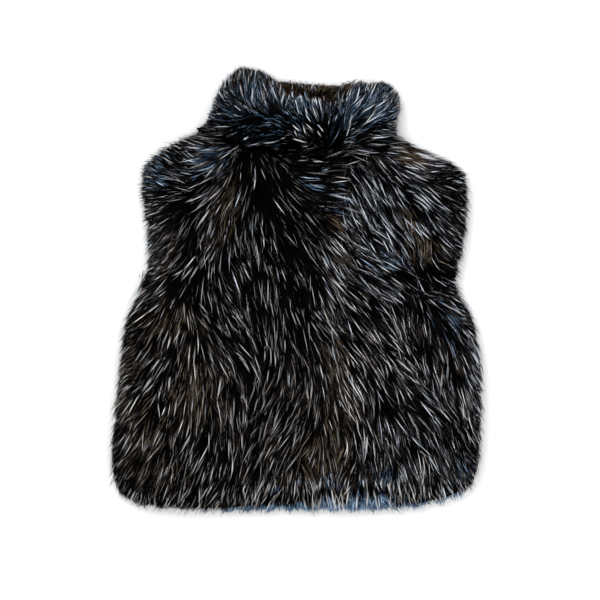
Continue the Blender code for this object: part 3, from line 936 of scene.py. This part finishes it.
def at_dip(node, on, low):
    """Which tufts are on the front collar, at the dip in its top edge and further up than low."""
    return (np.abs(on[:, 0] - DIP_X) < DIP_REACH) & (on[:, 1] > low) & (node in FRONT_COLLARS)


def planted(node, density):
    """A node's tufts: places, roots, normals, and how many are on strips that the fronts leave bare."""
    points, normals, faces = node_arrays(node)
    grown, middle = carrying_faces(points, faces, node)
    on, normal = scattered(points, normals, grown, density)
    root = sunk(on, normal, node)
    if not len(middle):
        return on, root, normal, 0
    strip, _ = scattered(points, normals, middle, STRIP_DENSITY)
    strip = strip[bare(strip)]
    on, root = np.vstack([on, strip]), np.vstack([root, strip - (0, 0, STRIP_SINK)])
    normal = np.vstack([normal, np.tile((0.0, 0.0, 1.0), (len(strip), 1))])
    return on, root, normal, len(strip)


class Tufts:
    """The tufts of one node, in arrays with one row to a tuft, and the hairs that grow in them."""

    def __init__(self, node):
        density, length, lift, off = GROWTH[node]
        self.node = node
        self.collar = node in COLLARS
        self.fine = COLLAR_FINE if self.collar else 1.0
        self.on, root, self.normal, self.strips = planted(node, density)
        self.count = len(self.on)
        loose = COLLAR_LOOSE if self.collar else 1.0
        wave = NAP_TURN * (clumpy(self.on, NAP_WAVE, NAP_OFFSET) - 0.5) * loose
        self.flow = turned(nap_at(self.on, node), wave + rng.normal(0, NAP_OWN * loose, self.count))
        raised = lift_at(self.on, math.radians(lift) * rng.uniform(*LIFT_SPREAD, self.count))
        raised = np.where(self.normal[:, 2] < UNDERSIDE, UNDER_LIFT, raised)
        size = length * rng.uniform(*LENGTH_SPREAD, self.count)
        size *= np.where(raised > STEEP_LIFT, STEEP_LENGTH, 1)
        if self.strips:
            size[-self.strips :] *= STRIP_LENGTH
        self.dip = at_dip(node, self.on, DIP_Y - DIP_BELOW)
        room = np.interp(self.on[:, 0], DIP_EDGE_X, DIP_EDGE_Y) - self.on[:, 1]
        room = room + rng.normal(DIP_PAST, DIP_PAST, self.count)
        size = np.where(self.dip, np.minimum(size, np.maximum(room, DIP_SHORTEST) * DIP_CURVE), size)
        droop = np.where(self.normal[:, 2] < SIDE_NORMAL, SIDE_DROOP, TOP_DROOP)
        bend = BEND_TURN * (clumpy(self.on, BEND_WAVE, BEND_OFFSET) - 0.5)
        bend = bend + rng.normal(0, BEND_OWN * loose, self.count)
        line, self.side = tuft_curves(node, root, self.normal, self.flow, size, raised, droop, bend)
        self.line, lock, self.out_in_lock = drawn_to_locks(line, root, self.normal)
        self.lock_tone = rng.random(self.count)[lock]
        self.held_off = ((self.on[:, 1] < HEM_Y) & (node in FRONTS)) | at_dip(node, self.on, DIP_Y)
        self.off = off * rng.uniform(*OFF_SPREAD, self.count)
        self.tint()

    def tint(self):
        """Reads the tints with the painted blue sheen, the lighter fur with its painted light, the greys,
        and the creases' painted shade where the hairs show.
        """
        shown = sampled(self.line, [SHOWN])[:, 0]
        # Fur painted lighter, partly its own lighter colour and partly painted light, and the cool fur
        self.lighter, self.cool = spot_weight(shown, LIGHTER_AND_LIT), spot_weight(shown, COOL)
        # The painted blue sheen of cool sky light, and the brown fur
        self.blue_sheen, self.brown = spot_weight(shown, BLUE_SHEEN_SPOTS), spot_weight(shown, BROWNS)
        inner = self.node == "collar_back"
        if inner:
            self.blue_sheen = self.blue_sheen * INNER_SHEEN
            self.brown = np.maximum(self.brown, INNER_BROWN * (self.normal[:, 2] > 0))
        self.skew = (1 - SKEW_SHEEN * self.blue_sheen) * between(*SKEW_LOCK, self.lock_tone)
        self.dusk = DUSK / (1 + DUSK_LIGHTER * self.lighter) * between(*DUSK_LOCK, self.lock_tone)
        # The back's bare strips take a strong painted blue sheen of sky light
        if self.strips and self.node == "back":
            self.blue_sheen[-self.strips :] = STRIP_SHEEN
            self.skew[-self.strips :] = STRIP_SKEW
        clumps = clumpy(self.on, GREY_WAVE, 0.0) ** GREY_POWER
        self.grey = GREY + GREY_CLUMP * clumps + GREY_LOCK * self.lock_tone**2
        self.grey *= (GREY_PLAIN + self.lighter) * (INNER_GREY if inner else 1.0)
        # The creases' painted shade leaves fewer pale tips, and the dip's share does the same
        left = left_by_shaded_creases(shown) * np.where(self.dip, DIP_LEFT, 1)
        # Greys darken with the tips left, painted shade in the creases, and at the dip; and towards each
        # lock's edge, painted shade in the gaps between locks
        self.grey *= left**CREASE_SHADE_POWER * (LOCK_GREY - LOCK_GAP_SHADE * self.out_in_lock).clip(LOCK_LEAST)
        self.left = left * between(*(TIPS_COLLAR if self.collar else TIPS_BODY), self.lock_tone)
        self.tip_sheen = self.blue_sheen * (SHEEN_COLLAR if self.collar else SHEEN_BODY)

    def allowed(self, kind, which):
        """How far each hair may stand off on top and at the outline, where only a few reach far."""
        held = np.repeat(self.held_off[which], kind["each"])
        past = kind["past"] * held * (rng.random(len(held)) < HELD_SHARE)
        top = np.repeat(self.off[which], kind["each"]) * kind["reach"] + past
        few = rng.random(len(top)) ** kind["rare"]
        fuzz = np.where(held & (kind["past"] == 0), 0, RIM_FUZZ * self.fine * kind["fuzz"])
        return np.stack([top, fuzz * few - RIM_DEEP * rng.random(len(top))], 1)

    def grown(self, kind, which):
        """Paths and normals of one kind of hair on the tufts picked."""
        paths, up = hairs(self.line[which], self.side[which], self.normal[which], kind)
        return kept_close(paths, self.allowed(kind, which)), up

    def ribboned(self, kind, paths, up, tone):
        """Ribbons of one kind of hair along the paths."""
        tone = np.where(down_the_opening(paths), OPENING_TONE, tone)
        width = rng.uniform(*kind["width"], len(paths)) * kind["broad"][self.collar]
        return ribbons(paths, up, width, kind["profile"], tone)

    def picked(self, across, along):
        """The tufts that carry a pale tip: so far apart, and only a share of them where the fur is dark."""
        far = apart(self.on, self.flow, across, along)
        return np.flatnonzero(far & (rng.random(self.count) < self.left))

    def dark_hairs(self, name):
        """The under hair or the guard hair, which every tuft has."""
        kind = KINDS[name]
        paths, up = self.grown(kind, np.arange(self.count))
        # The painted blue sheen and the brown, scaled for this kind of hair
        blue_sheen, brown = self.blue_sheen * kind["blue_sheen"], self.brown * kind["brown"]
        skew, dusk = self.skew * kind["skew"], self.dusk * kind["dusk"]
        rows = (self.grey, blue_sheen, brown, skew, self.cool, dusk)
        tone = tones(*kind["greys"], *(np.repeat(row, kind["each"]) for row in rows))
        return self.ribboned(kind, paths, up, tone)

    def bright_tips(self):
        """Pale tipped hairs, silver ones and bluish ones in the painted blue sheen."""
        kind = KINDS["pale"]
        if self.node in FRONTS:
            kind = dict(kind, stretch=FRONT_STRETCH)
        gap = GAP_PLAIN - GAP_LIGHTER * self.lighter.clip(0, GAP_LIMIT)
        gap = (GAP_COLLAR if self.collar else 1.0) * gap
        which = self.picked(BRIGHT_ACROSS * gap, BRIGHT_ALONG * gap)
        count = len(which)
        paths, up = self.grown(kind, which)
        shine = SHINE + SHINE_LIGHTER * self.lighter[which] + SHINE_COLLAR * self.collar
        shine = rng.normal(shine, SHINE_SPREAD).clip(0, 1)
        warm, cool = WARM_TIP + WARM_TIP_SPAN * shine, COOL_TIP + COOL_TIP_SPAN * shine
        tone = np.where(rng.random(count) < self.cool[which], cool, warm)
        # Some pale tips take the painted blue sheen
        tone = np.where(rng.random(count) < self.tip_sheen[which], rng.uniform(*SHEEN_TIP, count), tone)
        return self.ribboned(kind, paths, up, np.repeat(tone, kind["each"]))

    def dim_tips(self):
        """Dim silver hairs between the pale tipped ones."""
        kind = KINDS["dim"]
        close = self.fine * np.ones(self.count)
        which = self.picked(DIM_ACROSS * close, DIM_ALONG * close)
        count = len(which)
        paths, up = self.grown(kind, which)
        tone = rng.uniform(*DIM_TIP, count)
        # Dim tips take cool tones, the painted blue sheen and browns where these lie
        for share, tint in ((self.cool, DIM_COOL), (self.tip_sheen, DIM_SHEEN), (self.brown, DIM_BROWN)):
            tone = np.where(rng.random(count) < share[which], rng.uniform(*tint, count), tone)
        return self.ribboned(kind, paths, up, tone)


def add_fur(node, mat):
    """All hair of one node, with one piece to each kind."""
    tufts = Tufts(node)
    made = {name: tufts.dark_hairs(name) for name in ("under", "guard")}
    made["pale"] = tufts.bright_tips()
    made["dim"] = tufts.dim_tips()
    return [mesh_object(f"{node}_{name}", *ribbon, mat) for name, ribbon in made.items()]


# All solids as one surface for rays, with the node that each face belongs to

all_points, all_faces, face_owner = [], [], []
for number, node in enumerate(NODES):
    points, _, faces = node_arrays(node)
    all_faces.append(faces + sum(len(p) for p in all_points))
    all_points.append(points)
    face_owner += [number] * len(faces)
over_all = BVHTree.FromPolygons(np.vstack(all_points).tolist(), np.vstack(all_faces).tolist())

# The comb's readings: places, directions and the nodes they are on

comb_at = np.stack(from_photo([row[0] for row in COMB], [row[1] for row in COMB]), 1)
comb_angle = np.radians([row[2] for row in COMB])
comb_flow = np.stack([np.cos(comb_angle), np.sin(comb_angle)], 1)
comb_owner = owner_of(comb_at[:, 0], comb_at[:, 1])

hair = hair_material()
outer_pile = pile_material("outer_pile", (0.001, 0.001, 0.0012), (0.008, 0.007, 0.007))
inner_pile = pile_material("inner_pile", (0.008, 0.005, 0.003), (0.040, 0.027, 0.016))

for node in NODES:
    inner = node == "collar_back"
    pile = add_pile(node, inner_pile if inner else outer_pile)
    fur = add_fur(node, hair)

# Floor, lights and camera

# The floor's side and the camera's height in metres, its sensor in millimetres, and the sky's strength
FLOOR_SIDE, CAMERA_Z, SENSOR, SKY = 12, 4.0, 36, 0.75


def add_floor():
    """A pale plane that catches the soft shadow."""
    bpy.ops.mesh.primitive_plane_add(size=FLOOR_SIDE, location=(0, 0, 0))
    floor = bpy.context.object
    floor.name = "floor"
    mat = bpy.data.materials.new("floor")
    mat.use_nodes = True
    shader = mat.node_tree.nodes["Principled BSDF"]
    shader.inputs["Base Color"].default_value = (0.92, 0.92, 0.92, 1)
    shader.inputs["Roughness"].default_value = 0.9
    shader.inputs["Specular IOR Level"].default_value = 0.1
    floor.data.materials.append(mat)


def add_light(name, place, size, power):
    """A square area light that looks at the vest's middle."""
    data = bpy.data.lights.new(name, "AREA")
    data.energy, data.size = power, size
    light = bpy.data.objects.new(name, data)
    light.location = place
    light.rotation_euler = (-Vector(place)).to_track_quat("-Z", "Y").to_euler()
    bpy.context.scene.collection.objects.link(light)


def add_camera():
    """Straight above, with the photo's frame on the plane of the seam."""
    data = bpy.data.cameras.new("camera")
    data.sensor_width = SENSOR
    data.lens = SENSOR * (CAMERA_Z - SEAM_Z) / (PHOTO_SIDE * PIXEL)
    data.clip_end = 50
    camera = bpy.data.objects.new("camera", data)
    x, y = from_photo(PHOTO_SIDE / 2, PHOTO_SIDE / 2)
    camera.location = (x, y, CAMERA_Z)
    bpy.context.scene.collection.objects.link(camera)
    bpy.context.scene.camera = camera


add_floor()
add_light("key", (-0.7, 0.9, 2.1), 1.6, 36)
add_light("fill", (0.9, -0.7, 2.1), 1.8, 20)
world = bpy.data.worlds.new("world")
world.use_nodes = True
world.node_tree.nodes["Background"].inputs["Color"].default_value = (1, 1, 1, 1)
world.node_tree.nodes["Background"].inputs["Strength"].default_value = SKY
bpy.context.scene.world = world
bpy.context.scene.view_settings.view_transform = "Standard"
add_camera()
